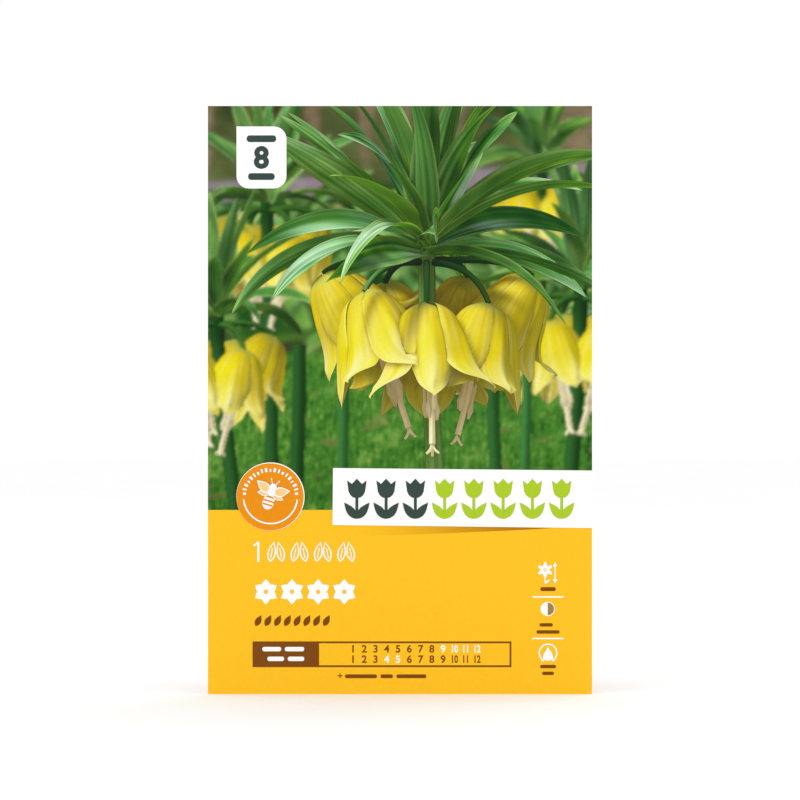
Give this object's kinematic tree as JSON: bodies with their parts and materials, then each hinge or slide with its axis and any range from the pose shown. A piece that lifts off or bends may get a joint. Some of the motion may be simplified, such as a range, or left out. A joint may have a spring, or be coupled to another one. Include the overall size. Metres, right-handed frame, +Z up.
{
  "type": "flower bulb packet",
  "caption": "Upright printed picture card with a crown imperial bulb in an orange net bag behind it, the net's neck held to the card's back by a glued paper strip.",
  "frame": {"origin": "bottom centre of the pack's box, on the surface that it stands on", "axes": "+Z up along the card's height, printed face towards -Y, +X to the right of someone who reads the print"},
  "size_m": [0.13, 0.0845, 0.199],
  "materials": {
    "card": "printed board, satin varnish",
    "bulb": "dry fleshy scales, matte",
    "net_bag": "extruded net",
    "glue_strip": "matte paper"
  },
  "bodies": {
    "root": {"card": "card", "bulb": "bulb", "net_bag": "net_bag", "glue_strip": "glue_strip"}
  },
  "joints": []
}
